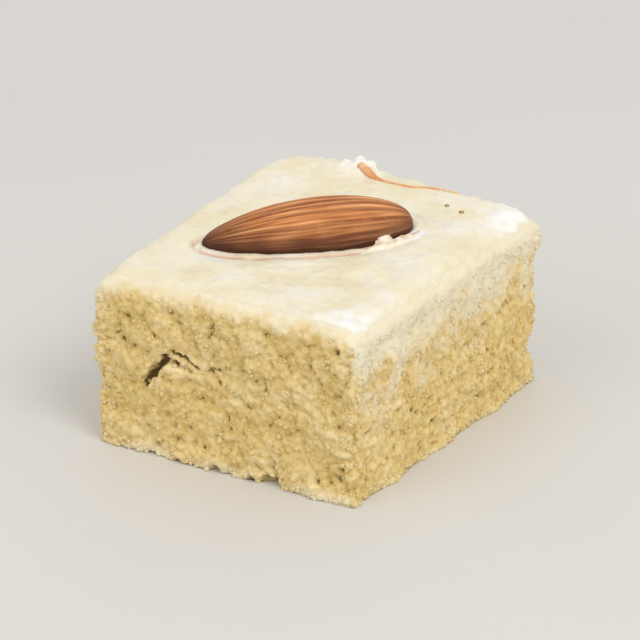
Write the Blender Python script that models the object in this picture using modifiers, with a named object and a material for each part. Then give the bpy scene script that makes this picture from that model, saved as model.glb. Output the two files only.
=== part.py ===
"""Barfi: a cut square of crumbly milk fudge, silver leaf over its top, an almond pressed into it.

Metres, +Z up. The square stands on z = 0 with its middle on the Z axis. Its longer side runs
along X. The corner at -X, -Y is the one that points at the viewer, the leaf hangs a little way
down the sides, and the almond lies across the top from the -X, +Y corner to the +X, -Y one.
"""

import math

import bmesh
import bpy
from mathutils import Matrix, Vector, noise

MM = 0.001

# The square of fudge: its size, how round its top, cut and back edges are worn, and the facet size
LENGTH = 38.4 * MM
WIDTH = 32.2 * MM
HEIGHT = 18.6 * MM
EDGE_TOP = 2.4 * MM
EDGE_CUT = 0.9 * MM
EDGE_BACK = 6.5 * MM
CELL = 1.25 * MM

# How far the top rises at each corner, by the signs of x and y
RISE = {(-1, -1): 0.7 * MM, (1, -1): 0.8 * MM, (-1, 1): 0.1 * MM, (1, 1): 2.1 * MM}
TOP_WAVE = 0.16 * MM
TOP_WAVE_LENGTH = 9.0 * MM

# Crumbly relief of the cut sides: (size of the lumps, depth). Near the top the sides are smooth.
CRUMBS = ((5.2 * MM, 0.40 * MM), (2.6 * MM, 0.32 * MM))
RELIEF_START = 1.3 * MM
RELIEF_FULL = 3.0 * MM
SIDE_BOW = 0.35 * MM
SIDE_BOW_LENGTH = 15.0 * MM
JITTER = 0.32 * MM

# The crumbly foot of the sides, which spreads a little
FOOT = 0.35 * MM
FOOT_HEIGHT = 2.4 * MM
FOOT_WAVE = 3.2 * MM

# Places where the knife tore a lump out (-) or left one standing (+): (place, reach, depth)
TORN = (
    ((19.0 * MM, -16.0 * MM, 4.0 * MM), 2.6 * MM, -1.10 * MM),
    ((19.0 * MM, -16.0 * MM, 13.5 * MM), 2.2 * MM, -0.45 * MM),
    ((-19.0 * MM, 7.4 * MM, 8.6 * MM), 3.2 * MM, 0.50 * MM),
    ((-19.0 * MM, -6.0 * MM, 0.0 * MM), 2.2 * MM, -0.80 * MM),
    ((-19.0 * MM, 12.5 * MM, 2.0 * MM), 2.6 * MM, 0.30 * MM),
    ((3.0 * MM, -16.0 * MM, 5.5 * MM), 3.0 * MM, -0.40 * MM),
    ((11.0 * MM, -16.0 * MM, 10.5 * MM), 3.0 * MM, 0.30 * MM),
)

# The two legs of the torn crack in the -X side: (y, z) of both ends, half width, depth
CRACK = (
    ((10.9 * MM, 6.7 * MM), (6.6 * MM, 12.1 * MM), 0.62 * MM, 1.0 * MM),
    ((7.9 * MM, 11.6 * MM), (3.2 * MM, 10.5 * MM), 0.55 * MM, 0.9 * MM),
)

# The almond: a teardrop, widest nearer its blunt end, flattened, with lengthwise ridges. The
# powers for its point and its blunt end make an end blunter the smaller they are.
ALMOND_LENGTH = 23.0 * MM
ALMOND_WIDTH = 10.4 * MM
ALMOND_THICKNESS = 6.1 * MM
ALMOND_WIDEST = 0.60
ALMOND_POINT = 0.56
ALMOND_BLUNT = 0.38
ALMOND_RIDGES = 13
ALMOND_RIDGE_DEPTH = 0.11 * MM
ALMOND_CENTRE = (0.3 * MM, 1.7 * MM)
ALMOND_TURN = math.radians(-44.0)
ALMOND_TIP_DOWN = math.radians(1.0)
ALMOND_ROLL = math.radians(3.0)
ALMOND_ABOVE = 3.1 * MM
ALMOND_SIDES = 40
ALMOND_RINGS = 28

# The dent that the almond presses into the top
DENT = 0.35 * MM
DENT_REACH = 2.4 * MM

# The silver leaf: far thinner in life than this solid. Its ragged hem hangs a little way round the
# worn edge, and ends short of it on the -X side.
LEAF_THICKNESS = 0.25 * MM
LEAF_CELL = 1.6 * MM
LEAF_HEM = 0.9 * MM
LEAF_HEM_WAVE = 0.55 * MM
LEAF_SHORT = 0.95 * MM
LEAF_HEM_WAVE_LENGTH = 4.0 * MM
LEAF_CRINKLE = 0.16 * MM
LEAF_CRINKLE_LENGTH = 3.4 * MM
GAP = 0.3 * MM

SEED = Vector((3.7, 11.2, 5.9))


def smooth(value):
    """0 below 0, 1 above 1 and an S-curve between."""
    t = min(max(value, 0.0), 1.0)
    return t * t * (3 - 2 * t)


def wave(point, length, shift=0.0):
    """Soft noise from -1 to 1 whose swells are about this long."""
    return noise.noise(point / length + SEED + Vector((shift, 0, 0)))


def lumps(point, size):
    """Rounded lumps with creases between them, about -1 to 1, as torn fudge has."""
    nearest = noise.voronoi(point / size + SEED)[0][0]
    return 1.0 - 2.2 * nearest


def new_object(name, mesh, collection, material=None):
    obj = bpy.data.objects.new(name, mesh)
    collection.objects.link(obj)
    if material:
        mesh.materials.append(material)
    return obj


def new_material(name, colour, roughness, metallic=0.0):
    material = bpy.data.materials.new(name)
    material.use_nodes = True
    shader = material.node_tree.nodes["Principled BSDF"]
    shader.inputs["Base Color"].default_value = (*colour, 1.0)
    shader.inputs["Roughness"].default_value = roughness
    shader.inputs["Metallic"].default_value = metallic
    return material


def slice_box(bm, cell, low, high):
    """Cuts the whole box by parallel planes about a cell apart, along each axis."""
    for axis in range(3):
        span = high[axis] - low[axis]
        count = max(1, round(span / cell))
        for i in range(1, count):
            place = Vector((0, 0, 0))
            place[axis] = low[axis] + span * i / count
            normal = Vector((0, 0, 0))
            normal[axis] = 1.0
            every = list(bm.verts) + list(bm.edges) + list(bm.faces)
            bmesh.ops.bisect_plane(bm, geom=every, dist=1e-7, plane_co=place, plane_no=normal)


def rounded(a, b):
    """Bends the square corner (a, b), both positive, onto the circle that fits it."""
    reach = math.hypot(a, b)
    share = max(a, b) / reach if reach > 0 else 1.0
    return a * share, b * share


def worn(point, half, top, grow):
    """Where a point of the true box lies once its top and upright edges are worn round."""
    x, y, z = point
    roll = EDGE_TOP + grow
    inward = min(half.x - abs(x), half.y - abs(y))
    below = top - z
    if inward < roll and below < roll:
        out, up = rounded(roll - inward, roll - below)
        x *= (half.x - roll + out) / (half.x - inward)
        y *= (half.y - roll + out) / (half.y - inward)
        z = top - roll + up
    edge = EDGE_BACK if x > 0 and y > 0 else EDGE_CUT
    edge = max(edge, EDGE_TOP * smooth((z - top + roll) / roll)) + grow
    out_x = abs(x) - half.x + edge
    out_y = abs(y) - half.y + edge
    if out_x > 0 and out_y > 0:
        out_x, out_y = rounded(out_x, out_y)
        x = math.copysign(half.x - edge + out_x, x)
        y = math.copysign(half.y - edge + out_y, y)
    return Vector((x, y, z))


def worn_box(cell, bottom=0.0, grow=0.0, hem=0.0):
    """The square's box, grown by grow all round and above, with worn edges and a grid on it.

    With hem, its lowest edge wanders up and down by about so much.
    """
    half = Vector((LENGTH / 2 + grow, WIDTH / 2 + grow))
    top = HEIGHT + grow
    bm = bmesh.new()
    bmesh.ops.create_cube(bm, size=2.0)
    bmesh.ops.scale(bm, vec=(half.x, half.y, (top - bottom) / 2), verts=bm.verts)
    bmesh.ops.translate(bm, vec=(0, 0, (top + bottom) / 2), verts=bm.verts)
    slice_box(bm, cell, Vector((-half.x, -half.y, bottom)), Vector((half.x, half.y, top)))
    for vert in bm.verts:
        if vert.co.z < bottom + 1e-6:
            vert.co.z += hem * wave(vert.co, LEAF_HEM_WAVE_LENGTH, 7.0)
    for vert in bm.verts:
        vert.co = worn(vert.co, half, top, grow)
    bm.normal_update()
    return bm


def almond_half_width(along):
    """The almond's half width at a place along it, from 0 at its point to 1 at its blunt end."""
    if along < ALMOND_WIDEST:
        bend = along / ALMOND_WIDEST
        return ALMOND_WIDTH / 2 * math.sin(bend * math.pi / 2) ** ALMOND_POINT
    bend = (1 - along) / (1 - ALMOND_WIDEST)
    return ALMOND_WIDTH / 2 * math.sin(bend * math.pi / 2) ** ALMOND_BLUNT


def almond_plan(x, y):
    """(along, across) of a place on the top, in the almond's own axes."""
    dx, dy = x - ALMOND_CENTRE[0], y - ALMOND_CENTRE[1]
    c, s = math.cos(ALMOND_TURN), math.sin(ALMOND_TURN)
    return dx * c + dy * s, dy * c - dx * s


def outside_almond(x, y):
    """About how far a place on the top lies outside the almond's outline, or 0 inside it."""
    along, across = almond_plan(x, y)
    share = min(max(along / ALMOND_LENGTH + 0.5, 0.02), 0.98)
    beyond = max(0.0, abs(along) - 0.48 * ALMOND_LENGTH)
    return math.hypot(max(0.0, abs(across) - almond_half_width(share)), beyond)


def top_change(x, y):
    """How far the top at this place lies above or below the height of a true box."""
    right = min(max(x / LENGTH + 0.5, 0.0), 1.0)
    far = min(max(y / WIDTH + 0.5, 0.0), 1.0)
    rise = (
        RISE[-1, -1] * (1 - right) * (1 - far)
        + RISE[1, -1] * right * (1 - far)
        + RISE[-1, 1] * (1 - right) * far
        + RISE[1, 1] * right * far
    )
    dent = DENT * (1 - smooth(outside_almond(x, y) / DENT_REACH))
    return rise + TOP_WAVE * wave(Vector((x, y, 0)), TOP_WAVE_LENGTH) - dent


def relief(point):
    """How far the cut side stands out or in at this point."""
    bow = SIDE_BOW * wave(point, SIDE_BOW_LENGTH, 4.0)
    foot = FOOT * smooth(1 - point.z / FOOT_HEIGHT) * (0.6 + wave(point, FOOT_WAVE, 6.0))
    crumbs = sum(depth * lumps(point, size) for size, depth in CRUMBS)
    torn = 0.0
    for (x, y, z), reach, depth in TORN:
        torn += depth * smooth(1 - (point - Vector((x, y, z))).length / reach)
    below = HEIGHT - point.z
    fade = smooth((below - RELIEF_START) / (RELIEF_FULL - RELIEF_START))
    return bow + (foot + crumbs + torn) * fade


def shape_box(bm, rough):
    """Gives a worn box the square's uneven top and bowed sides and, with rough, its crumbs."""
    moves = []
    for vert in bm.verts:
        co, normal = vert.co, vert.normal
        move = Vector((0, 0, top_change(co.x, co.y) * smooth(co.z / HEIGHT)))
        side = Vector((normal.x, normal.y, 0))
        if side.length > 0.3:
            side.normalize()
            move += side * relief(co)
        if side.length > 0.3 and rough:
            fade = smooth((HEIGHT - co.z - RELIEF_START) / (RELIEF_FULL - RELIEF_START))
            drift = Vector([wave(co, CELL, shift) for shift in (1.0, 2.0, 3.0)])
            drift -= side * drift.dot(side)
            if co.z < 1e-6:
                drift.z = 0.0
            move += drift * JITTER * fade
        moves.append(move)
    for vert, move in zip(bm.verts, moves):
        vert.co += move


def flatten_base(bm):
    """Makes the many small faces of the flat underside one face."""
    base = [f for f in bm.faces if all(v.co.z < 1e-6 for v in f.verts)]
    bmesh.ops.dissolve_faces(bm, faces=base)


def to_mesh(bm, name):
    bmesh.ops.recalc_face_normals(bm, faces=bm.faces)
    mesh = bpy.data.meshes.new(name)
    bm.to_mesh(mesh)
    bm.free()
    return mesh


def almond_mesh(name, grow=0.0):
    """The almond along its own X, its point at -X, from a sphere whose poles are its two ends."""
    bm = bmesh.new()
    bmesh.ops.create_uvsphere(
        bm, u_segments=ALMOND_SIDES, v_segments=ALMOND_RINGS, radius=1.0
    )
    bmesh.ops.rotate(bm, matrix=Matrix.Rotation(math.radians(-90), 3, "Y"), verts=bm.verts)
    for vert in bm.verts:
        along = 0.5 + vert.co.x / 2
        around = math.atan2(vert.co.z, vert.co.y)
        across = math.hypot(vert.co.y, vert.co.z)
        half = almond_half_width(along) if across > 1e-6 else 0.0
        twist = 1.3 * wave(Vector((along, 0, 0)), 0.4)
        ridge = math.sin(ALMOND_RIDGES * around + twist) * math.sin(math.pi * along)
        half += ALMOND_RIDGE_DEPTH * ridge
        flat = ALMOND_THICKNESS / ALMOND_WIDTH
        y = half * math.cos(around)
        z = half * flat * math.sin(around)
        vert.co = Vector(((along - 0.5) * ALMOND_LENGTH, y, z))
    bm.normal_update()
    for vert in bm.verts:
        vert.co += vert.normal * grow
    mesh = to_mesh(bm, name)
    mesh.shade_smooth()
    return mesh


def place_almond(obj):
    """Lays an almond, or its cutter, across the top of the square."""
    x, y = ALMOND_CENTRE
    top = HEIGHT + top_change(x, y) + DENT + GAP + LEAF_THICKNESS
    obj.location = (x, y, top + ALMOND_ABOVE - ALMOND_THICKNESS / 2)
    obj.rotation_euler = (ALMOND_ROLL, -ALMOND_TIP_DOWN, ALMOND_TURN)


def crack_cutter(name, leg, collection):
    """A spindle half sunk in the -X side along one leg of the crack."""
    (y1, z1), (y2, z2), half_width, depth = leg
    bm = bmesh.new()
    bmesh.ops.create_uvsphere(bm, u_segments=10, v_segments=8, radius=1.0)
    half_length = math.hypot(y2 - y1, z2 - z1) / 2
    bmesh.ops.scale(bm, vec=(depth, half_width, half_length), verts=bm.verts)
    cutter = new_object(name, to_mesh(bm, name), collection)
    middle = Vector((-LENGTH / 2, (y1 + y2) / 2, (z1 + z2) / 2))
    cutter.location = middle - Vector((relief(middle), 0, 0))
    cutter.rotation_euler = (-math.atan2(y2 - y1, z2 - z1), 0, 0)
    return cutter


def as_guide(obj):
    """Keeps a cutter out of the render and of the part."""
    obj.hide_render = True
    obj.display_type = "WIRE"


def subtract(obj, cutter):
    """Takes a cutter, or every cutter in a collection, out of the object."""
    cut = obj.modifiers.new("cut_" + cutter.name, "BOOLEAN")
    cut.operation = "DIFFERENCE"
    if isinstance(cutter, bpy.types.Collection):
        cut.operand_type = "COLLECTION"
        cut.collection = cutter
    else:
        cut.object = cutter


def make_block(collection, material):
    bm = worn_box(CELL)
    shape_box(bm, rough=True)
    flatten_base(bm)
    return new_object("barfi_block", to_mesh(bm, "barfi_block"), collection, material)


def shorten_leaf(bm):
    """Takes the leaf's hem off the -X side, where it ends part way round the worn edge."""
    roll = EDGE_TOP + GAP
    side = -LENGTH / 2 - GAP
    every = list(bm.verts) + list(bm.edges) + list(bm.faces)
    cut = Vector((side + LEAF_SHORT, 0, 0))
    bmesh.ops.bisect_plane(
        bm, geom=every, dist=0.05 * MM, plane_co=cut, plane_no=(1, 0, 0), clear_inner=True
    )
    for vert in bm.verts:
        inward = vert.co.x - side
        if abs(inward - LEAF_SHORT) < 0.06 * MM and abs(vert.co.y) < WIDTH / 2 - roll:
            inward += 0.6 * LEAF_HEM_WAVE * wave(vert.co, LEAF_HEM_WAVE_LENGTH, 7.0)
            drop = roll - math.sqrt(roll**2 - (roll - inward) ** 2)
            vert.co.x = side + inward
            vert.co.z = HEIGHT + GAP - drop


def make_leaf(collection, material):
    """The leaf: the upper skin of a slightly larger box, with a ragged hem, made solid."""
    bm = worn_box(LEAF_CELL, bottom=HEIGHT + GAP - LEAF_HEM, grow=GAP, hem=LEAF_HEM_WAVE)
    under = [f for f in bm.faces if f.normal.z < -0.5]
    bmesh.ops.delete(bm, geom=under, context="FACES")
    shorten_leaf(bm)
    bm.normal_update()
    crinkles = []
    for vert in bm.verts:
        swell = 0.5 + 0.5 * wave(vert.co, LEAF_CRINKLE_LENGTH, 9.0)
        crinkles.append(vert.normal * LEAF_CRINKLE * swell)
    shape_box(bm, rough=False)
    for vert, crinkle in zip(bm.verts, crinkles):
        vert.co += crinkle
    leaf = new_object("silver_leaf", to_mesh(bm, "silver_leaf"), collection, material)
    solid = leaf.modifiers.new("thickness", "SOLIDIFY")
    solid.thickness = LEAF_THICKNESS
    solid.offset = 1.0
    return leaf


def make_almond(collection, material):
    almond = new_object("almond", almond_mesh("almond"), collection, material)
    place_almond(almond)
    return almond


def make_almond_cutter(collection):
    """The almond's own shape, grown by the gap: it leaves the socket in the fudge and the leaf."""
    cutter = new_object("almond_cutter", almond_mesh("almond_cutter", GAP), collection)
    place_almond(cutter)
    return cutter


def centre_on_axis(objects):
    """Moves every object alike, so that the middle of the whole is over the origin."""
    bpy.context.view_layer.update()
    graph = bpy.context.evaluated_depsgraph_get()
    corners = []
    for obj in objects:
        seen = obj.evaluated_get(graph)
        corners += [seen.matrix_world @ v.co for v in seen.data.vertices]
    middle = [(min(c[i] for c in corners) + max(c[i] for c in corners)) / 2 for i in (0, 1)]
    for obj in bpy.context.scene.objects:
        obj.location.x -= middle[0]
        obj.location.y -= middle[1]


def main():
    for obj in list(bpy.data.objects):
        bpy.data.objects.remove(obj)
    parts = bpy.data.collections.new("barfi")
    cutters = bpy.data.collections.new("cutters")
    bpy.context.scene.collection.children.link(parts)
    bpy.context.scene.collection.children.link(cutters)

    fudge = new_material("milk_fudge", (0.80, 0.66, 0.38), 0.75)
    skin = new_material("almond_skin", (0.36, 0.13, 0.045), 0.5)
    silver = new_material("silver_leaf", (0.92, 0.88, 0.76), 0.35, 0.4)

    block = make_block(parts, fudge)
    leaf = make_leaf(parts, silver)
    almond = make_almond(parts, skin)

    socket = make_almond_cutter(cutters)
    legs = [crack_cutter("crack_cutter_%d" % i, leg, cutters) for i, leg in enumerate(CRACK)]
    for cutter in (socket, *legs):
        as_guide(cutter)
    subtract(block, cutters)
    subtract(leaf, socket)
    centre_on_axis((block, leaf, almond))


main()
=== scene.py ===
"""Barfi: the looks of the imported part.

The fudge gets its crumbly cut sides and loose crumbs, the top its silver leaf with crinkles, a
crumpled edge and a flap, and the almond its veined skin. A saffron thread and two specks lie on
the leaf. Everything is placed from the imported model, in metres, and 2.2 * MM is 2.2 millimetres.
Values whose comment says "in mm" are plain millimetres.
"""

import math

import bmesh
import bpy
import numpy as np
from mathutils import Matrix, Vector, noise
from mathutils.bvhtree import BVHTree
from mathutils.kdtree import KDTree


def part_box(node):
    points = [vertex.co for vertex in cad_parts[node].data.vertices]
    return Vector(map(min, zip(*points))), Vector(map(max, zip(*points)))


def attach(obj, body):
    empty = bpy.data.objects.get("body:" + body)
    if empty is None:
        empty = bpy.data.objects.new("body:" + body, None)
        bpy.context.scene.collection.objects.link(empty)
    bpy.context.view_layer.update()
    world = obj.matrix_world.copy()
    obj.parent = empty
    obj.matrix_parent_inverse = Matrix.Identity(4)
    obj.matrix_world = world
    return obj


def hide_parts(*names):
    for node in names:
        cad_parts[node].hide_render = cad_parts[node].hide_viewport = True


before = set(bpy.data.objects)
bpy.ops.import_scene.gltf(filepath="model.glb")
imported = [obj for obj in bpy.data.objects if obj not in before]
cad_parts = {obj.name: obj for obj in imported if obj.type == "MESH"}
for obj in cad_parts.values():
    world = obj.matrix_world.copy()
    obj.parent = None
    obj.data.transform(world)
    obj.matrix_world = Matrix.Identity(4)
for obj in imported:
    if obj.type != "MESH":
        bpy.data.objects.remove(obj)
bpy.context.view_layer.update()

MM = 0.001
RNG = np.random.default_rng(7)
SEED = Vector((21.3, 4.7, 13.1))

# The leaf's milky white, which also lies on the fudge below it, and the cream of its thin hem
LEAF_CREAM = (0.875, 0.81, 0.63)
HEM_CREAM = (0.85, 0.755, 0.50)

# The fudge's mesh: its fineness, how far it swells out to meet the leaf, and how many triangles
# its thinning aims for. Only faces that don't show are thinned, so it keeps more than that: those
# this low on the floor, and those of the top this close under the CAD leaf.
VOXEL = 0.215 * MM
MEET_LEAF = 0.40 * MM
FUDGE_TRIANGLES = 130000
HIDDEN_FOOT = 0.06 * MM
HIDDEN_GAP = 0.36 * MM

# Below this height the fudge is flat on the floor
FLOOR_BAND = 0.05 * MM

# Its crumb: (size of the grains, depth), from clumps down to single grains, and the size and
# depth of the crumbled skin over them
GRAINS = ((3.4 * MM, 0.24 * MM), (1.35 * MM, 0.13 * MM), (0.62 * MM, 0.09 * MM))
CRUMBLE = (1.1 * MM, 0.20 * MM)

# How the grains' outlines wander: over this length, and by how much in mm
GRAIN_BEND = (1.5 * MM, 0.45)

# Pits between the grains, and the size of the patches that have them
PIT_SIZE = 2.2 * MM
PIT_DEPTH = 0.40 * MM
PIT_PATCH = 4.5 * MM

# How far in from the upright edges the crumb is rougher
ROUGH_EDGE = 3.0 * MM

# What counts as a pit when painted shade darkens the crumb: rounds of smoothing, and depth
CAVITY = (26, 0.22 * MM)

# The crack in the -X side: legs of (y, z) from end to end with half width and depth, in mm
CRACK = (
    ((9.9, 8.0), (6.3, 12.4), 0.26, 0.70),
    ((6.4, 12.6), (3.2, 11.0), 0.26, 0.60),
    ((3.4, 11.0), (-1.0, 12.0), 0.22, 0.25),
)

# Bites out of the foot of the -X side: (y, half width, height), and how far in and up they move
# the foot, in mm
NOTCHES = ((-5.6, 1.5, 1.2), (-3.4, 0.6, 0.7), (1.0, 0.8, 0.9), (5.5, 0.5, 0.5), (9.0, 0.6, 0.5))
NOTCH_IN = 1.3
NOTCH_UP = 0.9

# How far the leaf's white runs down the fudge, on the -X side and on the others, and the smear of
# it on the -Y side: middle, width and height
WHITE_RUN = (1.9 * MM, 10.5 * MM)
SMEAR = (Vector((10.6, -16.2, 13.2)) * MM, 2.9 * MM, 0.8 * MM)

# Loose crumbs that stick to the cut sides: how many, their radius, how much each is stretched,
# how uneven its corners are, and its place between the pits' colour with its painted shade, 0, and
# the crest's, 1
CRUMBS = 5200
CRUMB_RADIUS = (0.10 * MM, 0.30 * MM)
CRUMB_STRETCH = (0.6, 1.5)
CRUMB_CORNERS = (0.65, 1.25)
CRUMB_TONES = (0.42, 0.82)

# The chance that a place drawn for a crumb gets it: anywhere, and how much more at the upright
# edges and in the foot, which is this high
CRUMB_CHANCE = (0.16, 0.5, 0.8)
CRUMB_FOOT = 1.5 * MM

# The lowest place for a crumb, the closest to the leaf, and how far out from the face its centre
# lies, in radii
CRUMB_LOWEST = 0.02 * MM
CRUMB_TO_LEAF = 0.5 * MM
CRUMB_OUT = (-0.45, 0.25)

# The leaf: how wide its edge thins out, how far short of the CAD leaf's edge it stops on the -X
# side, its crinkles, its broader swells, and how far its edges turn down
EDGE_BLEND = 2.1 * MM
TRIM = 1.25 * MM
LEAF_CRINKLE = 0.07 * MM
LEAF_SWELL = 0.12 * MM
SKIRT = 0.25 * MM

# The crumple where the leaf stands up on the +X edge, as (x, y), reach and height, and the lower
# one along the rest of that edge, as width and height
CRUMPLE = (Vector((18.3 * MM, 5.6 * MM)), 3.6 * MM, 1.75 * MM)
EDGE_CRUMPLE = (2.6 * MM, 0.60 * MM)

# Rings round the almond, in mm: the leaf's lip and crease as (distance, width, height), its stain
# with painted reflection as (distance, width), and how far the crease and that ring wander
LIP = (0.50, 0.30, 0.20)
CREASE = (1.15, 0.26, 0.22)
STAIN_AND_REFLECTION = (1.05, 0.32)
RING_WANDER = 0.35

# How deep the leaf's edges sink into the almond and into the fudge, in mm
SINK_ALMOND = 0.12
SINK_FUDGE = 0.10

# An edge of the leaf further than this from the almond is an outer one
OUTER_EDGE = 1.2 * MM

# The flap of leaf over the almond's side, from and to these shares of its length, how far it
# reaches over the almond and out from it, and how far out its two ends lie
FLAP = (0.68, 0.985)
FLAP_REACH = (-0.30 * MM, 1.05 * MM)
FLAP_TIP = 0.25 * MM
FLAP_STEPS = 170
FLAP_ROWS = 36
FLAP_SMOOTHING = 60

# How much the flap's outline wanders, in mm
FLAP_SWAY = 0.22

# Where painted highlights whiten the leaf's colour, as (x, y) and reach
PAINTED_GLINTS = (
    (Vector((-17.6 * MM, -14.6 * MM)), 6.0 * MM),
    (Vector((16.0 * MM, -15.0 * MM)), 5.0 * MM),
    (Vector((17.6 * MM, 5.8 * MM)), 3.2 * MM),
    (Vector((6.0 * MM, -8.2 * MM)), 1.8 * MM),
)

# The almond, which repeats the CAD's own sizes
ALMOND_LENGTH = 23.0 * MM
ALMOND_WIDTH = 10.4 * MM
ALMOND_THICKNESS = 6.1 * MM
ALMOND_WIDEST = 0.60
ALMOND_POINT = 0.56
ALMOND_BLUNT = 0.38
ALMOND_TURN = math.radians(-44.0)
ALMOND_TIP_DOWN = math.radians(1.0)
ALMOND_ROLL = math.radians(3.0)
ALMOND_RINGS = 200
ALMOND_SIDES = 400

# Its skin: veins as (how many round it, height), how far inside the plain form the skin starts,
# and how uneven it is
VEINS = ((15, 0.12 * MM), (29, 0.10 * MM), (53, 0.06 * MM))
SKIN_SUNK = 0.06 * MM
SKIN_UNEVEN = 0.10 * MM

# The leaf's height round the almond, and how far up from it painted shade darkens the skin
LEAF_LEVEL = 19.9 * MM
PAINTED_SHADE_HEIGHT = 3.0 * MM

# The saffron thread along the +X edge, and the specks: (x, y, radius), in mm
THREAD = (
    (16.7, 5.2, 0.45), (16.1, 3.9, 0.60), (15.7, 2.9, 0.34), (15.4, 1.9, 0.17),
    (15.5, 0.6, 0.14), (15.4, -0.6, 0.16), (16.0, -2.2, 0.13), (17.2, -3.5, 0.15),
    (17.5, -5.2, 0.12), (17.5, -6.9, 0.08),
)
SPECKS = ((14.0, -7.4, 0.24), (13.3, -9.6, 0.28))

# Half the floor's width
FLOOR_SIZE = 3.0

# The camera, from the photograph's angle. Azimuth 0 looks along +Y, and a negative one stands
# toward -X. Angles are in degrees. The lights are aimed at the same point.
AIM = Vector((0.0, 0.0, 10.4 * MM))
CAMERA_AZIMUTH = -58.0
CAMERA_ELEVATION = 24.0
CAMERA_DISTANCE = 0.51
CAMERA_LENS = 268.0

# Soft studio light: a large key lamp from above, a fill lamp from the left, and a bright room.
# Lamps are (name, azimuth, elevation, size, power, colour).
LAMPS = (
    ("key", -24.0, 47.0, 0.42, 2.8, (1.0, 0.98, 0.95)),
    ("fill", -110.0, 40.0, 0.50, 1.0, (1.0, 0.99, 0.98)),
)
LAMP_DISTANCE = 0.9
ROOM_COLOUR = (1.0, 0.985, 0.96, 1.0)
ROOM_STRENGTH = 0.74


def smooth(value):
    """0 below 0, 1 above 1 and an S-curve between."""
    t = min(max(value, 0.0), 1.0)
    return t * t * (3 - 2 * t)


def fade_in(value, start, width):
    """0 up to start, 1 from this width past it and an S-curve between."""
    return smooth((value - start) / width)


def fade_out(value, start, width):
    """1 up to start, 0 from this width past it and an S-curve between."""
    return smooth(1.0 - (value - start) / width)


def bell(value, middle, width):
    """1 at the middle, falling to about a third at this width from it and on toward 0."""
    return math.exp(-(((value - middle) / width) ** 2))


def wave(point, length, shift=0.0):
    """Soft noise from -1 to 1 whose swells are about this long. Each shift gives another one."""
    return noise.noise(point / length + SEED + Vector((shift, 0.0, 0.0)))


def ridge(point, length, shift=0.0):
    """Noise with sharp crests, from 0 to 1, as crumpled foil has."""
    return 1.0 - min(1.0, 2.2 * abs(wave(point, length, shift)))


def tree_of(obj):
    """A search tree of an object's mesh."""
    bm = bmesh.new()
    bm.from_mesh(obj.data)
    tree = BVHTree.FromBMesh(bm)
    bm.free()
    return tree


def new_object(name, data):
    """A new object with this data, linked into the scene."""
    obj = bpy.data.objects.new(name, data)
    bpy.context.scene.collection.objects.link(obj)
    return obj


def new_mesh(name, bm):
    """The bmesh as a new mesh. The bmesh is freed."""
    mesh = bpy.data.meshes.new(name)
    bm.to_mesh(mesh)
    bm.free()
    return mesh


def add_piece(name, mesh, material, node=None):
    """A new piece that rides on the part and, with node, stands for that CAD node."""
    obj = new_object(name, mesh)
    mesh.materials.clear()
    mesh.materials.append(material)
    mesh.shade_smooth()
    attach(obj, "root")
    if node:
        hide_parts(node)
    return obj


def put_attribute(mesh, name, values):
    """Stores one number for each vertex, which the material reads by name."""
    layer = mesh.attributes.new(name, "FLOAT", "POINT")
    layer.data.foreach_set("value", np.asarray(values, np.float32))


def evaluated(obj):
    """The object's mesh with its modifiers, as a new mesh."""
    bpy.context.view_layer.update()
    graph = bpy.context.evaluated_depsgraph_get()
    return bpy.data.meshes.new_from_object(obj.evaluated_get(graph))


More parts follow.
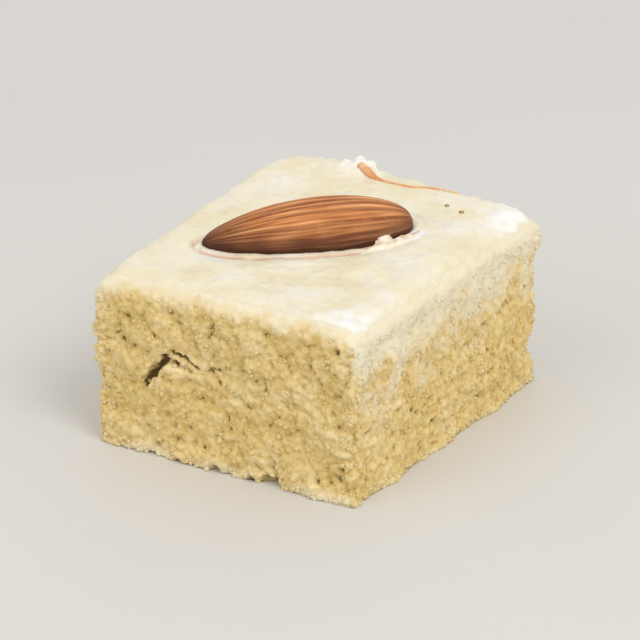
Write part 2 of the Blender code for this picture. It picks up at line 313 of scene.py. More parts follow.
class Shader:
    """A material's node tree, with short calls for the nodes used here."""

    def __init__(self, name):
        self.material = bpy.data.materials.new(name)
        self.material.use_nodes = True
        self.nodes = self.material.node_tree.nodes
        self.links = self.material.node_tree.links
        self.main = self.nodes["Principled BSDF"]
        self.place = self.nodes.new("ShaderNodeTexCoord").outputs["Object"]

    def put(self, socket, value):
        """Links a node's output to a socket, or sets the socket to a plain value."""
        if isinstance(value, bpy.types.NodeSocket):
            self.links.new(value, socket)
        else:
            socket.default_value = value

    def set(self, **values):
        """Sets the main shader's sockets; an underscore in a name stands for a space."""
        for name, value in values.items():
            self.put(self.main.inputs[name.replace("_", " ")], value)

    def attribute(self, name):
        """The number that put_attribute stored under this name."""
        node = self.nodes.new("ShaderNodeAttribute")
        node.attribute_name = name
        return node.outputs["Fac"]

    def noise(self, size, detail=3.0, kind="FBM", roughness=0.5):
        """Noise whose features are about this size, in metres."""
        node = self.nodes.new("ShaderNodeTexNoise")
        node.noise_type = kind
        node.inputs["Scale"].default_value = 1.0 / size
        node.inputs["Detail"].default_value = detail
        node.inputs["Roughness"].default_value = roughness
        self.links.new(self.place, node.inputs["Vector"])
        return node.outputs["Fac"]

    def cells(self, size):
        """Distance to the nearest cell centre, for cells of this size."""
        node = self.nodes.new("ShaderNodeTexVoronoi")
        node.inputs["Scale"].default_value = 1.0 / size
        self.links.new(self.place, node.inputs["Vector"])
        return node.outputs["Distance"]

    def ramp(self, value, *stops):
        """Colours, or greys, along a value: (position, colour) for each stop."""
        node = self.nodes.new("ShaderNodeValToRGB")
        self.put(node.inputs["Fac"], value)
        elements = node.color_ramp.elements
        while len(elements) < len(stops):
            elements.new(0.5)
        for element, (position, colour) in zip(elements, stops):
            if isinstance(colour, float):
                colour = (colour, colour, colour)
            element.position = position
            element.color = (*colour, 1.0)
        return node.outputs["Color"]

    def mix(self, share, first, second):
        """The first colour, with this share of the second mixed in."""
        node = self.nodes.new("ShaderNodeMix")
        node.data_type = "RGBA"
        self.put(node.inputs["Factor"], share)
        for socket, value in ((node.inputs[6], first), (node.inputs[7], second)):
            value = (*value, 1.0) if isinstance(value, tuple) else value
            self.put(socket, value)
        return node.outputs[2]

    def times(self, value, factor):
        """A value, multiplied by a number."""
        node = self.nodes.new("ShaderNodeMath")
        node.operation = "MULTIPLY"
        self.put(node.inputs[0], value)
        self.put(node.inputs[1], factor)
        return node.outputs[0]

    def bump(self, *layers):
        """Bump from (height, distance in metres, strength) layers, one on top of another."""
        normal = None
        for height, distance, strength in layers:
            node = self.nodes.new("ShaderNodeBump")
            node.inputs["Distance"].default_value = distance
            node.inputs["Strength"].default_value = strength
            self.links.new(height, node.inputs["Height"])
            if normal:
                self.links.new(normal, node.inputs["Normal"])
            normal = node.outputs["Normal"]
        self.links.new(normal, self.main.inputs["Normal"])


def fudge_material():
    """Milk fudge: cream grains, deeper yellow between them, olive-brown painted shade in pits."""
    sh = Shader("fudge_finish")
    crumb = sh.attribute("crumb")
    # The crumb's tones, darker toward pits and the crack: partly its own colour, partly painted
    # shade
    grains = sh.ramp(
        crumb,
        (0.08, (0.27, 0.165, 0.035)),
        (0.32, (0.62, 0.43, 0.13)),
        (0.52, (0.76, 0.54, 0.21)),
        (0.82, (0.87, 0.715, 0.405)),
    )
    patches = sh.ramp(
        sh.noise(4.6 * MM, 4.0),
        (0.36, (0.61, 0.415, 0.10)),
        (0.50, (0.76, 0.54, 0.20)),
        (0.66, (0.88, 0.72, 0.41)),
    )
    colour = sh.mix(0.40, grains, patches)
    grit = sh.ramp(
        sh.noise(0.55 * MM, 3.0),
        (0.36, (0.63, 0.44, 0.125)),
        (0.62, (0.94, 0.80, 0.46)),
    )
    colour = sh.mix(0.25, colour, grit)
    # Painted shade, nearly black, in the deepest pits and in the crack
    deep = sh.ramp(crumb, (0.0, 1.0), (0.14, 0.0))
    colour = sh.mix(sh.times(deep, 0.88), colour, (0.10, 0.057, 0.013))
    colour = sh.mix(sh.attribute("white"), colour, LEAF_CREAM)
    sh.set(
        Base_Color=colour,
        Roughness=sh.ramp(sh.noise(1.1 * MM), (0.3, 0.55), (0.7, 0.80)),
        Subsurface_Weight=0.22,
        Subsurface_Radius=(1.0, 0.62, 0.30),
        Subsurface_Scale=0.6 * MM,
        Specular_IOR_Level=0.30,
    )
    sh.bump(
        (sh.noise(0.60 * MM, 4.0, roughness=0.60), 0.16 * MM, 0.60),
        (sh.cells(0.26 * MM), 0.04 * MM, 0.40),
    )
    return sh.material


def leaf_material():
    """Silver leaf on cream: mostly milky white, with a soft metal sheen in patches."""
    # Its colour also has painted highlights, and beside the almond a stain with a painted
    # reflection and painted shade
    sh = Shader("silver_leaf_finish")
    cloud = sh.noise(4.6 * MM, 5.0, roughness=0.55)
    colour = sh.ramp(
        cloud,
        (0.36, (0.83, 0.75, 0.53)),
        (0.50, LEAF_CREAM),
        (0.66, (0.89, 0.85, 0.74)),
    )
    worn = sh.ramp(sh.noise(1.4 * MM, 5.0, roughness=0.62), (0.55, 0.0), (0.68, 1.0))
    colour = sh.mix(sh.times(worn, 0.30), colour, (0.82, 0.74, 0.47))
    # Pinkish-brown stain with a painted reflection of the almond, and painted shade where the leaf
    # meets it
    colour = sh.mix(sh.attribute("stain_and_reflection"), colour, (0.70, 0.40, 0.26))
    colour = sh.mix(sh.times(sh.attribute("hem"), 0.8), colour, HEM_CREAM)
    # Painted highlights: the colour is whitened where the leaf should catch the light
    colour = sh.mix(sh.attribute("painted_glint"), colour, (0.96, 0.95, 0.92))
    sheen = sh.ramp(sh.noise(2.2 * MM, 5.0, roughness=0.6), (0.52, 0.0), (0.66, 0.30))
    sheen = sh.mix(sh.attribute("hem"), sheen, (0.0, 0.0, 0.0))
    sh.set(
        Base_Color=colour,
        Metallic=sheen,
        Roughness=sh.ramp(sh.noise(1.5 * MM, 3.0), (0.35, 0.27), (0.65, 0.52)),
        Subsurface_Weight=0.15,
        Subsurface_Radius=(1.0, 0.7, 0.4),
        Subsurface_Scale=0.8 * MM,
    )
    sh.bump(
        (sh.noise(1.3 * MM, 6.0, "RIDGED_MULTIFRACTAL"), 0.06 * MM, 0.35),
        (sh.noise(0.30 * MM, 3.0), 0.035 * MM, 0.55),
    )
    return sh.material


def almond_material():
    """Almond skin: red-brown, paler along its veins and dusty in between, with painted shade."""
    sh = Shader("almond_skin_finish")
    vein = sh.attribute("vein")
    # Darker in the grooves between the veins and paler on their crests: partly the skin's own
    # tone, partly painted shade
    colour = sh.ramp(
        vein,
        (0.06, (0.24, 0.060, 0.014)),
        (0.24, (0.58, 0.190, 0.050)),
        (0.42, (0.80, 0.330, 0.105)),
        (0.66, (0.98, 0.60, 0.29)),
    )
    streak = sh.ramp(
        sh.attribute("streak"),
        (0.32, (0.33, 0.090, 0.024)),
        (0.72, (0.86, 0.42, 0.165)),
    )
    colour = sh.mix(0.32, colour, streak)
    dust = sh.ramp(sh.noise(1.3 * MM, 6.0, roughness=0.66), (0.50, 0.0), (0.72, 0.28))
    colour = sh.mix(dust, colour, (0.74, 0.38, 0.16))
    # Painted shade: the skin is darkened near the leaf, where its lower side is in shade
    colour = sh.mix(sh.attribute("painted_shade"), colour, (0.055, 0.013, 0.004))
    sh.set(
        Base_Color=colour,
        Roughness=sh.ramp(sh.noise(0.9 * MM, 3.0), (0.35, 0.46), (0.65, 0.64)),
        Specular_IOR_Level=0.25,
        Subsurface_Weight=0.05,
        Subsurface_Scale=0.5 * MM,
    )
    sh.bump((sh.noise(0.26 * MM, 5.0, roughness=0.7), 0.06 * MM, 0.7))
    return sh.material


def saffron_material():
    """Saffron thread: pale to deeper orange in patches, slightly glossy."""
    sh = Shader("saffron_finish")
    colour = sh.ramp(
        sh.noise(1.5 * MM, 3.0),
        (0.35, (0.74, 0.30, 0.095)),
        (0.65, (0.88, 0.56, 0.32)),
    )
    sh.set(Base_Color=colour, Roughness=0.42, Subsurface_Weight=0.25, Subsurface_Scale=0.5 * MM)
    sh.bump((sh.noise(0.2 * MM, 3.0), 0.04 * MM, 0.6))
    return sh.material


def speck_material():
    """Specks of cardamom: dark tan."""
    sh = Shader("speck_finish")
    colour = sh.ramp(
        sh.noise(0.2 * MM, 3.0),
        (0.35, (0.30, 0.18, 0.05)),
        (0.65, (0.54, 0.37, 0.15)),
    )
    sh.set(Base_Color=colour, Roughness=0.7)
    sh.bump((sh.noise(0.12 * MM, 3.0), 0.04 * MM, 0.6))
    return sh.material


def floor_material():
    """A plain pale floor with barely any texture."""
    sh = Shader("floor_finish")
    colour = sh.ramp(sh.noise(0.05, 2.0), (0.3, (0.69, 0.68, 0.66)), (0.7, (0.71, 0.70, 0.68)))
    sh.set(Base_Color=colour, Roughness=0.6)
    return sh.material


def crumb_height(point):
    """Height of the crumbly cut surface at this point."""
    length, amount = GRAIN_BEND
    bend = Vector([wave(point, length, shift) for shift in (5.0, 6.0, 7.0)]) * amount * MM
    place = point + bend
    height = 0.0
    for size, depth in GRAINS:
        first, second = noise.voronoi(place / size + SEED)[0][:2]
        height += depth * (min(1.0, 1.7 * (second - first)) - 0.8 * first)
    size, depth = CRUMBLE
    height += depth * noise.fractal(place / size - SEED, 0.55, 2.1, 4)
    pit = noise.voronoi(place / PIT_SIZE + SEED * 1.7)[0][0]
    open_here = fade_in(wave(point, PIT_PATCH, 11.0), -0.05, 0.3)
    return height - PIT_DEPTH * smooth(1.0 - pit / 0.34) * open_here


def crack_depth(co, normal):
    """How deep the crack and its fainter tail go at this point of the -X side."""
    if normal.x > -0.5:
        return 0.0
    place = Vector((co.y, co.z)) / MM
    place += 0.30 * Vector((wave(co, 1.1 * MM, 31.0), wave(co, 1.1 * MM, 37.0)))
    deepest = 0.0
    for start, end, half, depth in CRACK:
        start, end = Vector(start), Vector(end)
        share = (place - start).dot(end - start) / (end - start).length_squared
        share = min(max(share, 0.0), 1.0)
        away = (place - start.lerp(end, share)).length
        taper = 0.45 + 0.55 * math.sin(math.pi * min(max(share, 0.08), 0.92))
        deepest = max(deepest, depth * taper * smooth(1.6 - 1.6 * away / (half * taper + 0.12)))
    return deepest * MM


def foot_bite(co):
    """How far the foot of the -X side is bitten away here, from 0 to 1."""
    bite = 0.0
    for y, half, height in NOTCHES:
        reach = math.hypot((co.y / MM - y) / half, co.z / MM / height)
        bite = max(bite, smooth(1.5 - 1.5 * reach))
    return bite


def white_share(co, normal, gap):
    """How much of the leaf's white lies on the fudge here, from 0 to 1.

    It runs down from the leaf, least on the side that faces -X, and there is some in the smear
    and along the foot of the -X side.
    """
    facing = fade_in(-normal.x, 0.0, 0.7)
    run = WHITE_RUN[1] + (WHITE_RUN[0] - WHITE_RUN[1]) * facing
    ragged = 0.55 * wave(co, 3.0 * MM, 41.0) + 0.45 * wave(co, 0.8 * MM, 43.0)
    share = smooth(1.0 - (gap + 0.5 * facing * MM) / run + ragged * 0.75)
    middle, wide, high = SMEAR
    away = co - middle
    streak = math.hypot(away.x / wide, away.z / high) + 1.6 * abs(away.y) / wide
    smear = smooth(1.35 - streak + 0.35 * ragged)
    foot = 0.55 * facing * fade_out(co.z, 0.0, 1.8 * MM)
    foot *= smooth(0.6 + 1.5 * wave(co, 4.0 * MM, 47.0))
    return max(0.90 * share, 0.70 * smear, foot)


def averaged(points, edges, rounds):
    """The points, each averaged with its neighbours this many times."""
    ones, others = edges[:, 0], edges[:, 1]
    count = np.bincount(edges.ravel(), minlength=len(points))
    now = points.copy()
    for _ in range(rounds):
        total = np.zeros_like(now)
        for axis in range(3):
            total[:, axis] = np.bincount(ones, now[others, axis], len(now))
            total[:, axis] += np.bincount(others, now[ones, axis], len(now))
        now = 0.5 * now + 0.5 * total / np.maximum(count, 1)[:, None]
    return now


def cavity(mesh, rounds, depth):
    """0 in pits of this depth, 1 on crests as high and 0.5 where the mesh is even."""
    points = np.empty(3 * len(mesh.vertices), np.float32)
    mesh.vertices.foreach_get("co", points)
    normals = np.empty(3 * len(mesh.vertices), np.float32)
    mesh.vertices.foreach_get("normal", normals)
    edges = np.empty(2 * len(mesh.edges), np.int32)
    mesh.edges.foreach_get("vertices", edges)
    points, normals = points.reshape(-1, 3).astype(float), normals.reshape(-1, 3)
    away = points - averaged(points, edges.reshape(-1, 2), rounds)
    return np.clip(0.5 + 0.5 * (away * normals).sum(1) / depth, 0.0, 1.0)


def fine_block(leaf_tree):
    """The CAD block with small even faces on its sides and fewer where nothing shows."""
    source = new_object("fudge_source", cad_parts["barfi_block"].data.copy())
    remesh = source.modifiers.new("remesh", "REMESH")
    remesh.mode = "VOXEL"
    remesh.voxel_size = VOXEL
    soften = source.modifiers.new("soften", "SMOOTH")
    soften.factor = 0.5
    soften.iterations = 4
    source.data = evaluated(source)
    source.modifiers.clear()

    hidden = source.vertex_groups.new(name="hidden")
    for vert in source.data.vertices:
        low = vert.co.z < HIDDEN_FOOT
        if low or (vert.normal.z > 0.9 and leaf_tree.find_nearest(vert.co)[3] < HIDDEN_GAP):
            hidden.add([vert.index], 1.0, "REPLACE")
    fewer = source.modifiers.new("fewer", "DECIMATE")
    fewer.ratio = FUDGE_TRIANGLES / (2 * len(source.data.polygons))
    fewer.vertex_group = "hidden"
    mesh = evaluated(source)
    bpy.data.objects.remove(source)
    return mesh


def edge_share(co, low, high):
    """1 at the block's upright edges, fading to 0 in from them."""
    to_side = min(co.x - low.x, high.x - co.x)
    to_front = min(co.y - low.y, high.y - co.y)
    return fade_out(max(to_side, to_front), 0.0, ROUGH_EDGE)


def make_fudge(leaf_tree, material):
    """The square of fudge: the CAD block, remeshed finely, with its crumb raised on the sides.

    Close to the leaf the fudge swells out to meet it. Its crumb is full where it is bare, and
    lower under the leaf and its white coat.
    """
    mesh = fine_block(leaf_tree)
    low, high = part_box("barfi_block")
    places, white, cracked = [], [], []
    for vert in mesh.vertices:
        co, normal = vert.co.copy(), vert.normal.copy()
        gap = leaf_tree.find_nearest(co)[3]
        bare = fade_in(gap, 0.32 * MM, 0.5 * MM)
        near = 1.0 - fade_in(gap, 0.4 * MM, 1.8 * MM)
        coat = white_share(co, normal, gap)
        crack = crack_depth(co, normal)
        white.append(coat)
        cracked.append(crack / MM)
        place = co.copy()
        if normal.z > -0.8 and co.z > FLOOR_BAND:
            rough = (0.35 + 0.65 * bare) * (1.0 - 0.45 * coat)
            rough *= 1.0 + 0.9 * edge_share(co, low, high)
            place += normal * (MEET_LEAF * near + crumb_height(co) * rough - crack)
        if co.x < low.x + 2.5 * MM:
            bite = foot_bite(co) * smooth(1.6 - (co.x - low.x) / (1.5 * MM))
            lift = NOTCH_UP * fade_in(co.z, 0.0, 0.4 * MM)
            place += Vector((NOTCH_IN, 0.0, lift)) * MM * bite
        place.z = max(place.z, 0.0) if co.z > FLOOR_BAND else 0.0
        places.append(place)
    for vert, place in zip(mesh.vertices, places):
        vert.co = place
    # Pits and the crack get low values, which the material darkens with painted shade
    crumb = cavity(mesh, *CAVITY) - 0.9 * np.array(cracked)
    put_attribute(mesh, "crumb", np.clip(crumb, 0.0, 1.0))
    put_attribute(mesh, "white", white)
    return add_piece("fudge", mesh, material, "barfi_block")


def make_crumbs(fudge, leaf_tree, material):
    """Loose crumbs stuck to the cut sides, thickest along the foot and the upright edges."""
    low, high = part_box("barfi_block")
    verts = fudge.data.vertices
    white = fudge.data.attributes["white"].data
    ball = bmesh.new()
    bmesh.ops.create_icosphere(ball, subdivisions=1, radius=1.0)
    corners = [v.co.copy() for v in ball.verts]
    faces = [[v.index for v in f.verts] for f in ball.faces]
    ball.free()
    points, all_faces, tones, whites = [], [], [], []
    anywhere, more_at_edge, more_at_foot = CRUMB_CHANCE
    made = 0
    while made < CRUMBS:
        index = int(RNG.integers(len(verts)))
        co, normal = verts[index].co, verts[index].normal
        if co.z < CRUMB_LOWEST or leaf_tree.find_nearest(co)[3] < CRUMB_TO_LEAF:
            continue
        at_edge = edge_share(co, low, high)
        at_foot = fade_out(co.z, 0.0, CRUMB_FOOT)
        if RNG.random() > anywhere + more_at_edge * at_edge + more_at_foot * at_foot:
            continue
        radius = CRUMB_RADIUS[0] + (CRUMB_RADIUS[1] - CRUMB_RADIUS[0]) * RNG.random() ** 1.8
        stretch = RNG.uniform(*CRUMB_STRETCH, 3)
        turn = Matrix.Rotation(RNG.uniform(0, 2 * math.pi), 3, Vector(RNG.normal(size=3)))
        centre = co + normal * radius * RNG.uniform(*CRUMB_OUT)
        start = len(points)
        for corner in corners:
            rough = RNG.uniform(*CRUMB_CORNERS)
            stretched = Vector([a * b for a, b in zip(corner, stretch)])
            point = centre + turn @ stretched * radius * rough
            point.z = max(point.z, 0.0)
            points.append(point)
        all_faces += [[start + i for i in face] for face in faces]
        tones += [RNG.uniform(*CRUMB_TONES) + 0.22 * at_foot] * len(corners)
        whites += [white[index].value] * len(corners)
        made += 1
    mesh = bpy.data.meshes.new("crumbs")
    mesh.from_pydata(points, [], all_faces)
    put_attribute(mesh, "crumb", tones)
    put_attribute(mesh, "white", whites)
    add_piece("crumbs", mesh, material)


def leaf_rise(co, almond_gap, high_x):
    """How far the leaf stands above its plain form at this place; high_x is its +X edge.

    A lip stands up round the almond, with a broken crease outside it.
    """
    crinkle = LEAF_CRINKLE * (ridge(co, 3.1 * MM) + 0.6 * ridge(co, 1.3 * MM, 3.0) - 0.7)
    crinkle += LEAF_SWELL * wave(co, 5.5 * MM, 21.0)
    distance, width, height = LIP
    lip = height * bell(almond_gap / MM, distance, width)
    distance, width, depth = CREASE
    wander = RING_WANDER * wave(co, 2.6 * MM, 25.0)
    crease = depth * bell(almond_gap / MM, distance + wander, width)
    crease *= smooth(0.65 + 1.2 * wave(co, 3.5 * MM, 27.0))
    middle, reach, height = CRUMPLE
    near = fade_out((co.xy - middle).length, 0.0, reach)
    crumple = height * near * (0.2 + 0.8 * ridge(co, 1.5 * MM, 8.0))
    reach, height = EDGE_CRUMPLE
    at_edge = fade_out(high_x - co.x, 0.0, reach)
    crumple += height * at_edge * ridge(co, 1.3 * MM, 4.0)
    return crinkle + (lip - crease) * MM + crumple


def smooth_leaf():
    """The upper skin of the CAD leaf with fine, smooth faces."""
    bm = bmesh.new()
    bm.from_mesh(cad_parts["silver_leaf"].data)
    bmesh.ops.remove_doubles(bm, verts=bm.verts, dist=0.002 * MM)
    bm.normal_update()
    under = [f for f in bm.faces if f.normal.z < 0.30]
    bmesh.ops.delete(bm, geom=under, context="FACES")
    bmesh.ops.join_triangles(
        bm, faces=bm.faces, angle_face_threshold=0.7, angle_shape_threshold=0.9
    )
    source = new_object("leaf_source", new_mesh("leaf_source", bm))
    finer = source.modifiers.new("finer", "SUBSURF")
    finer.levels = 3
    finer.render_levels = 3
    fine = evaluated(source)
    bpy.data.objects.remove(source)
    return fine


def edge_distances(bm, almond_tree):
    """Each vertex's distance to the leaf's outer edge, in the order of the vertices."""
    rim = [v.co.copy() for v in bm.verts if v.is_boundary]
    outer = [co for co in rim if almond_tree.find_nearest(co)[3] > OUTER_EDGE]
    tree = KDTree(len(outer))
    for i, co in enumerate(outer):
        tree.insert(co, i)
    tree.balance()
    return [tree.find(v.co)[2] for v in bm.verts]


def leaf_stain_and_reflection(co, almond_gap, centre):
    """How much stain, painted reflection and painted shade the leaf has beside the almond."""
    # The ring lies on the almond's side toward -X and -Y, which faces the camera: partly a real
    # stain, partly a painted reflection of the almond
    toward = Vector((-0.85, -0.53))
    side = fade_in((co.xy - centre.xy).dot(toward), 0.0, 2.5 * MM)
    broken = fade_in(wave(co, 2.0 * MM, 2.0), -0.45, 0.5)
    distance, width = STAIN_AND_REFLECTION
    wander = RING_WANDER * wave(co, 2.6 * MM, 25.0)
    ring = bell(almond_gap / MM, distance + wander, width) * side * broken
    # Painted shade right where the leaf meets the almond, all round it
    return 0.80 * ring + 0.30 * fade_out(almond_gap, 0.0, 0.35 * MM)


def leaf_painted_glint(co):
    """How much painted highlight whitens the leaf here, from 0 to 1."""
    nearest = max(1.0 - (co.xy - middle).length / reach for middle, reach in PAINTED_GLINTS)
    return smooth(1.3 * nearest + 0.5 * wave(co, 1.2 * MM, 71.0))


def drape(bm, almond_tree, fudge_tree):
    """The leaf's places, crinkled, down to almond and fudge at its edges: (place, gap, thin).

    The gap is the plain form's distance to the almond, and thin is 1 where the leaf runs out.
    """
    low_x, high_x = (corner.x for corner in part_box("silver_leaf"))
    bm.normal_update()
    places = []
    edges = edge_distances(bm, almond_tree)
    for vert, edge in zip(bm.verts, edges):
        co = vert.co
        nearest, normal, _, gap = almond_tree.find_nearest(co)
        place = co + vert.normal * leaf_rise(co, gap, high_x)
        at_almond = fade_out(gap, 0.30 * MM, 0.35 * MM)
        place = place.lerp(nearest - normal * SINK_ALMOND * MM, at_almond)
        ragged = 0.7 * MM * wave(co, 1.3 * MM, 9.0)
        trim = TRIM * fade_out(co.x, low_x, 2.2 * MM)
        thin = fade_out(edge + ragged - trim, 0.0, EDGE_BLEND)
        ground, up = fudge_tree.find_nearest(place)[:2]
        place = place.lerp(ground - up * SINK_FUDGE * MM, thin)
        places.append((place, gap, thin))
    return places


def make_leaf(almond_tree, fudge_tree, material):
    """The silver leaf: the upper skin of the CAD leaf, crinkled, down on fudge and almond."""
    bm = bmesh.new()
    bm.from_mesh(smooth_leaf())
    places = drape(bm, almond_tree, fudge_tree)
    low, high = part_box("almond")
    stain_and_reflection = bm.verts.layers.float.new("stain_and_reflection")
    hem = bm.verts.layers.float.new("hem")
    painted_glint = bm.verts.layers.float.new("painted_glint")
    for vert, (place, gap, thin) in zip(bm.verts, places):
        # Stain with a painted reflection of the almond and painted shade at its foot
        vert[stain_and_reflection] = leaf_stain_and_reflection(vert.co, gap, (low + high) / 2)
        # Painted highlight, softer where the leaf runs thin
        vert[painted_glint] = leaf_painted_glint(vert.co) * (1.0 - 0.75 * thin)
        vert[hem] = thin
        vert.co = place
    edges = [e for e in bm.edges if e.is_boundary]
    for part in bmesh.ops.extrude_edge_only(bm, edges=edges)["geom"]:
        if isinstance(part, bmesh.types.BMVert):
            part.co.z -= SKIRT
    mesh = new_mesh("silver_leaf_sheet", bm)
    return add_piece("silver_leaf_sheet", mesh, material, "silver_leaf")


def on_top(trees, x, y, above=0.0):
    """The highest point that the search trees have at this place, raised by above."""
    hits = [tree.ray_cast(Vector((x, y, 40 * MM)), Vector((0, 0, -1)))[0] for tree in trees]
    highest = max(hit.z for hit in hits if hit)
    return Vector((x, y, highest + above))


def almond_half_width(along):
    """The almond's half width at a place along it, from 0 at its point to 1 at its blunt end."""
    if along < ALMOND_WIDEST:
        bend = along / ALMOND_WIDEST
        return ALMOND_WIDTH / 2 * math.sin(bend * math.pi / 2) ** ALMOND_POINT
    bend = (1 - along) / (1 - ALMOND_WIDEST)
    return ALMOND_WIDTH / 2 * math.sin(bend * math.pi / 2) ** ALMOND_BLUNT


def almond_outline(centre, along, out):
    """A place in plan this far out from the almond's outline, on its side toward -X and -Y."""
    step = 0.004
    here, ahead, behind = (
        Vector(((a - 0.5) * ALMOND_LENGTH, -almond_half_width(a)))
        for a in (along, min(along + step, 0.9999), along - step)
    )
    run = (ahead - behind).normalized()
    place = here + Vector((run.y, -run.x)) * out
    return place.to_3d() @ Matrix.Rotation(-ALMOND_TURN, 3, "Z") + centre


def flap_places(trees):
    """The flap's places on the leaf and the almond, as rows across it, one for each step."""
    low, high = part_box("almond")
    start, end = FLAP
    over, out = FLAP_REACH
    places = []
    for i in range(FLAP_STEPS + 1):
        along = start + (end - start) * i / FLAP_STEPS
        taper = math.sin(math.pi * i / FLAP_STEPS) ** 0.5
        for j in range(FLAP_ROWS + 1):
            away = FLAP_TIP + (over + (out - over) * j / FLAP_ROWS - FLAP_TIP) * taper
            place = almond_outline((low + high) / 2, along, away)
            sway = Vector([wave(place, 1.2 * MM, shift) for shift in (51.0, 52.0, 0.0)])
            place += sway * FLAP_SWAY * MM
            places.append(on_top(trees, place.x, place.y))
    return places


def bridged(places):
    """The heights of the flap's places, in their order, spanning hollows in what is below."""
    ground = np.array([place.z for place in places]).reshape(FLAP_STEPS + 1, FLAP_ROWS + 1)
    slope = ground.copy()
    for _ in range(FLAP_SMOOTHING):
        slope[:, 1:-1] = (slope[:, :-2] + 2 * slope[:, 1:-1] + slope[:, 2:]) / 4
        slope[1:-1] = (slope[:-2] + 2 * slope[1:-1] + slope[2:]) / 4
    return np.maximum(ground, slope).flat


def make_flap(trees, material):
    """The crumpled flap of leaf that laps over the almond's lower side."""
    places = flap_places(trees)
    stains_and_reflection = []
    for index, (place, height) in enumerate(zip(places, bridged(places))):
        row, column = divmod(index, FLAP_ROWS + 1)
        along, side = row / FLAP_STEPS, column / FLAP_ROWS
        body = min(1.0, 4.5 * along * (1.0 - along)) * min(1.0, 5.0 * side * (1.0 - side))
        plan = Vector((place.x, place.y, 0.0))
        rise = 0.16 + 0.24 * ridge(plan, 1.6 * MM, 53.0) + 0.08 * ridge(plan, 0.7 * MM, 54.0)
        place.z = height + (body * rise - 0.06) * MM
        broken = smooth(0.65 + 1.6 * wave(plan, 0.8 * MM, 55.0))
        # Stain with a painted reflection of the almond, strongest on the part of the flap over the
        # almond
        stains_and_reflection.append(0.95 * broken * smooth(1.8 - 2.2 * side))
    faces = []
    for i in range(FLAP_STEPS):
        for j in range(FLAP_ROWS):
            first = i * (FLAP_ROWS + 1) + j
            faces.append((first, first + FLAP_ROWS + 1, first + FLAP_ROWS + 2, first + 1))
    mesh = bpy.data.meshes.new("leaf_flap")
    mesh.from_pydata(places, [], faces)
    put_attribute(mesh, "stain_and_reflection", stains_and_reflection)
    put_attribute(mesh, "hem", [0.0] * len(places))
    # A faint painted highlight over the whole flap
    put_attribute(mesh, "painted_glint", [0.1] * len(places))
    add_piece("leaf_flap", mesh, material)


def vein_height(along, around):
    """(height, share from 0 to 1) of the almond's skin at this place on it."""
    place = Vector((3.0 * along, 2.2 * math.cos(around), 2.2 * math.sin(around)))
    height = 0.0
    full = 0.0
    for count, depth in VEINS:
        phase = count * around + 2.6 * noise.noise(place * 1.2 + SEED * count)
        crest = (1.0 - abs(math.sin(phase / 2.0))) ** 1.4
        fade = 0.55 + 0.75 * noise.noise(place * 2.1 + SEED * (count + 3))
        height += depth * crest * max(0.1, fade)
        full += depth
    ends = math.sin(math.pi * along) ** 0.5
    return height * ends, height / full


def shape_almond(bm):
    """Turns a sphere whose poles lie along X into the almond, point at -X, with its veins."""
    vein = bm.verts.layers.float.new("vein")
    streak = bm.verts.layers.float.new("streak")
    flat = ALMOND_THICKNESS / ALMOND_WIDTH
    for vert in bm.verts:
        along = 0.5 + vert.co.x / 2
        around = math.atan2(vert.co.z, vert.co.y)
        at_pole = math.hypot(vert.co.y, vert.co.z) <= 1e-6
        height, share = vein_height(along, around)
        uneven = SKIN_UNEVEN * wave(Vector((along * 20.0, around * 3.0, 0.0)) * MM, 4.0 * MM)
        half = 0.0
        if not at_pole:
            half = max(0.0, almond_half_width(along) + height - SKIN_SUNK + uneven)
        y = half * math.cos(around)
        z = half * flat * math.sin(around)
        vert.co = Vector(((along - 0.5) * ALMOND_LENGTH, y, z))
        vert[vein] = min(1.0, share * 1.25)
        thread = Vector((2.5 * along, 9.0 * math.cos(around), 9.0 * math.sin(around)))
        vert[streak] = 0.5 + 0.8 * noise.noise(thread + SEED)


def lay_almond(bm):
    """Turns the almond to lie across the top and moves it to where the CAD almond is."""
    for angle, axis in ((ALMOND_ROLL, "X"), (-ALMOND_TIP_DOWN, "Y"), (ALMOND_TURN, "Z")):
        bmesh.ops.rotate(bm, matrix=Matrix.Rotation(angle, 3, axis), verts=bm.verts)
    low = Vector([min(v.co[i] for v in bm.verts) for i in range(3)])
    high = Vector([max(v.co[i] for v in bm.verts) for i in range(3)])
    node_low, node_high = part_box("almond")
    shift = (node_low + node_high) / 2 - (low + high) / 2
    bmesh.ops.translate(bm, vec=shift, verts=bm.verts)


def make_almond(material):
    """The almond: the CAD's teardrop, with a fine veined skin and painted shade near the leaf."""
    bm = bmesh.new()
    bmesh.ops.create_uvsphere(bm, u_segments=ALMOND_SIDES, v_segments=ALMOND_RINGS, radius=1.0)
    bmesh.ops.rotate(bm, matrix=Matrix.Rotation(math.radians(-90), 3, "Y"), verts=bm.verts)
    shape_almond(bm)
    lay_almond(bm)
    # Painted shade, from the leaf up to this height above it
    painted_shade = bm.verts.layers.float.new("painted_shade")
    for vert in bm.verts:
        above = vert.co.z - LEAF_LEVEL + 0.4 * MM * wave(vert.co, 2.5 * MM, 61.0)
        vert[painted_shade] = 0.97 * fade_out(above, 0.0, PAINTED_SHADE_HEIGHT)
    mesh = new_mesh("almond_kernel", bm)
    return add_piece("almond_kernel", mesh, material, "almond")


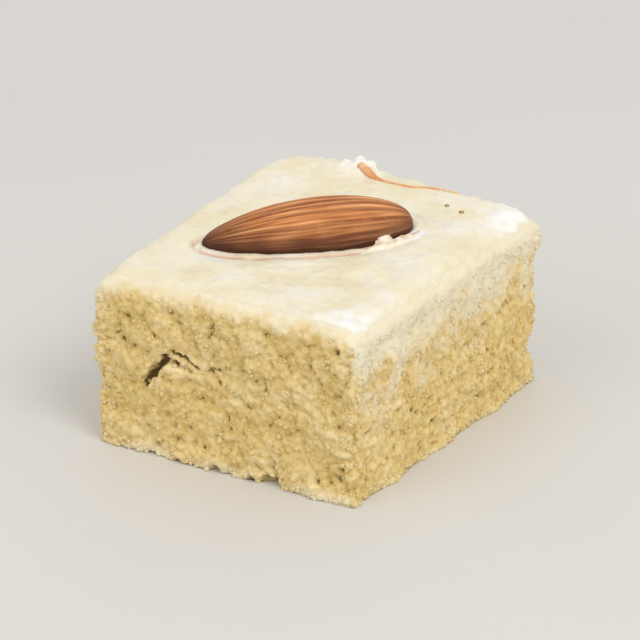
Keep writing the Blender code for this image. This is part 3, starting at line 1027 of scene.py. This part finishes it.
def make_thread(trees, material):
    """The saffron thread, lying on the leaf, with a swollen end."""
    curve = bpy.data.curves.new("saffron_line", "CURVE")
    curve.dimensions = "3D"
    curve.bevel_depth = MM
    curve.bevel_resolution = 3
    curve.use_fill_caps = True
    line = curve.splines.new("NURBS")
    line.points.add(len(THREAD) - 1)
    line.use_endpoint_u = True
    for point, (x, y, radius) in zip(line.points, THREAD):
        point.co = (*on_top(trees, x * MM, y * MM, 0.25 * radius * MM), 1.0)
        point.radius = radius
    source = new_object("saffron_line", curve)
    mesh = evaluated(source)
    bpy.data.objects.remove(source)
    for vert in mesh.vertices:
        vert.co += vert.normal * 0.05 * MM * wave(vert.co, 0.5 * MM)
    add_piece("saffron_thread", mesh, material)


def make_specks(trees, material):
    """Small specks lying on the leaf."""
    bm = bmesh.new()
    for i, (x, y, radius) in enumerate(SPECKS):
        made = bmesh.ops.create_icosphere(bm, subdivisions=3, radius=radius * MM)["verts"]
        centre = on_top(trees, x * MM, y * MM, 0.1 * radius * MM)
        for vert in made:
            place = vert.co / (radius * MM) * 1.4 + Vector((i * 9.0, 0, 0))
            vert.co *= 1.0 + 0.4 * noise.noise(place)
            vert.co.z *= 0.6
            vert.co += centre
    add_piece("specks", new_mesh("specks", bm), material)


def dress():
    """Every piece of the visual model, from the fudge up to the specks."""
    leaf_tree = tree_of(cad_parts["silver_leaf"])
    almond_tree = tree_of(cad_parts["almond"])
    fudge_finish = fudge_material()
    leaf_finish = leaf_material()
    fudge = make_fudge(leaf_tree, fudge_finish)
    make_crumbs(fudge, leaf_tree, fudge_finish)
    leaf = make_leaf(almond_tree, tree_of(fudge), leaf_finish)
    kernel = make_almond(almond_material())
    tops = [tree_of(leaf), tree_of(kernel)]
    make_flap(tops, leaf_finish)
    make_thread(tops, saffron_material())
    make_specks(tops, speck_material())


def make_floor():
    """The plain floor that the piece stands on."""
    bm = bmesh.new()
    bmesh.ops.create_grid(bm, x_segments=1, y_segments=1, size=FLOOR_SIZE)
    mesh = new_mesh("floor", bm)
    mesh.materials.append(floor_material())
    new_object("floor", mesh)


def aim(obj, azimuth, elevation, distance):
    """Puts a lamp or the camera at this angle and distance from AIM, turned toward it."""
    a, e = math.radians(azimuth), math.radians(elevation)
    away = Vector((math.sin(a) * math.cos(e), -math.cos(a) * math.cos(e), math.sin(e)))
    obj.location = AIM + away * distance
    obj.rotation_euler = (-away).to_track_quat("-Z", "Y").to_euler()


def light_scene():
    """The room's even light and the two lamps."""
    scene = bpy.context.scene
    scene.view_settings.view_transform = "Standard"
    world = bpy.data.worlds.new("studio")
    scene.world = world
    world.use_nodes = True
    background = world.node_tree.nodes["Background"]
    background.inputs["Color"].default_value = ROOM_COLOUR
    background.inputs["Strength"].default_value = ROOM_STRENGTH
    for name, azimuth, elevation, size, power, colour in LAMPS:
        light = bpy.data.lights.new(name, "AREA")
        light.size = size
        light.energy = power
        light.color = colour
        aim(new_object(name, light), azimuth, elevation, LAMP_DISTANCE)


def place_camera():
    """A long lens from the photograph's angle, with the piece filling most of the frame."""
    camera = bpy.data.cameras.new("camera")
    camera.sensor_width = 36.0
    camera.lens = CAMERA_LENS
    camera.clip_start = 0.01
    obj = new_object("camera", camera)
    aim(obj, CAMERA_AZIMUTH, CAMERA_ELEVATION, CAMERA_DISTANCE)
    bpy.context.scene.camera = obj


dress()
make_floor()
light_scene()
place_camera()
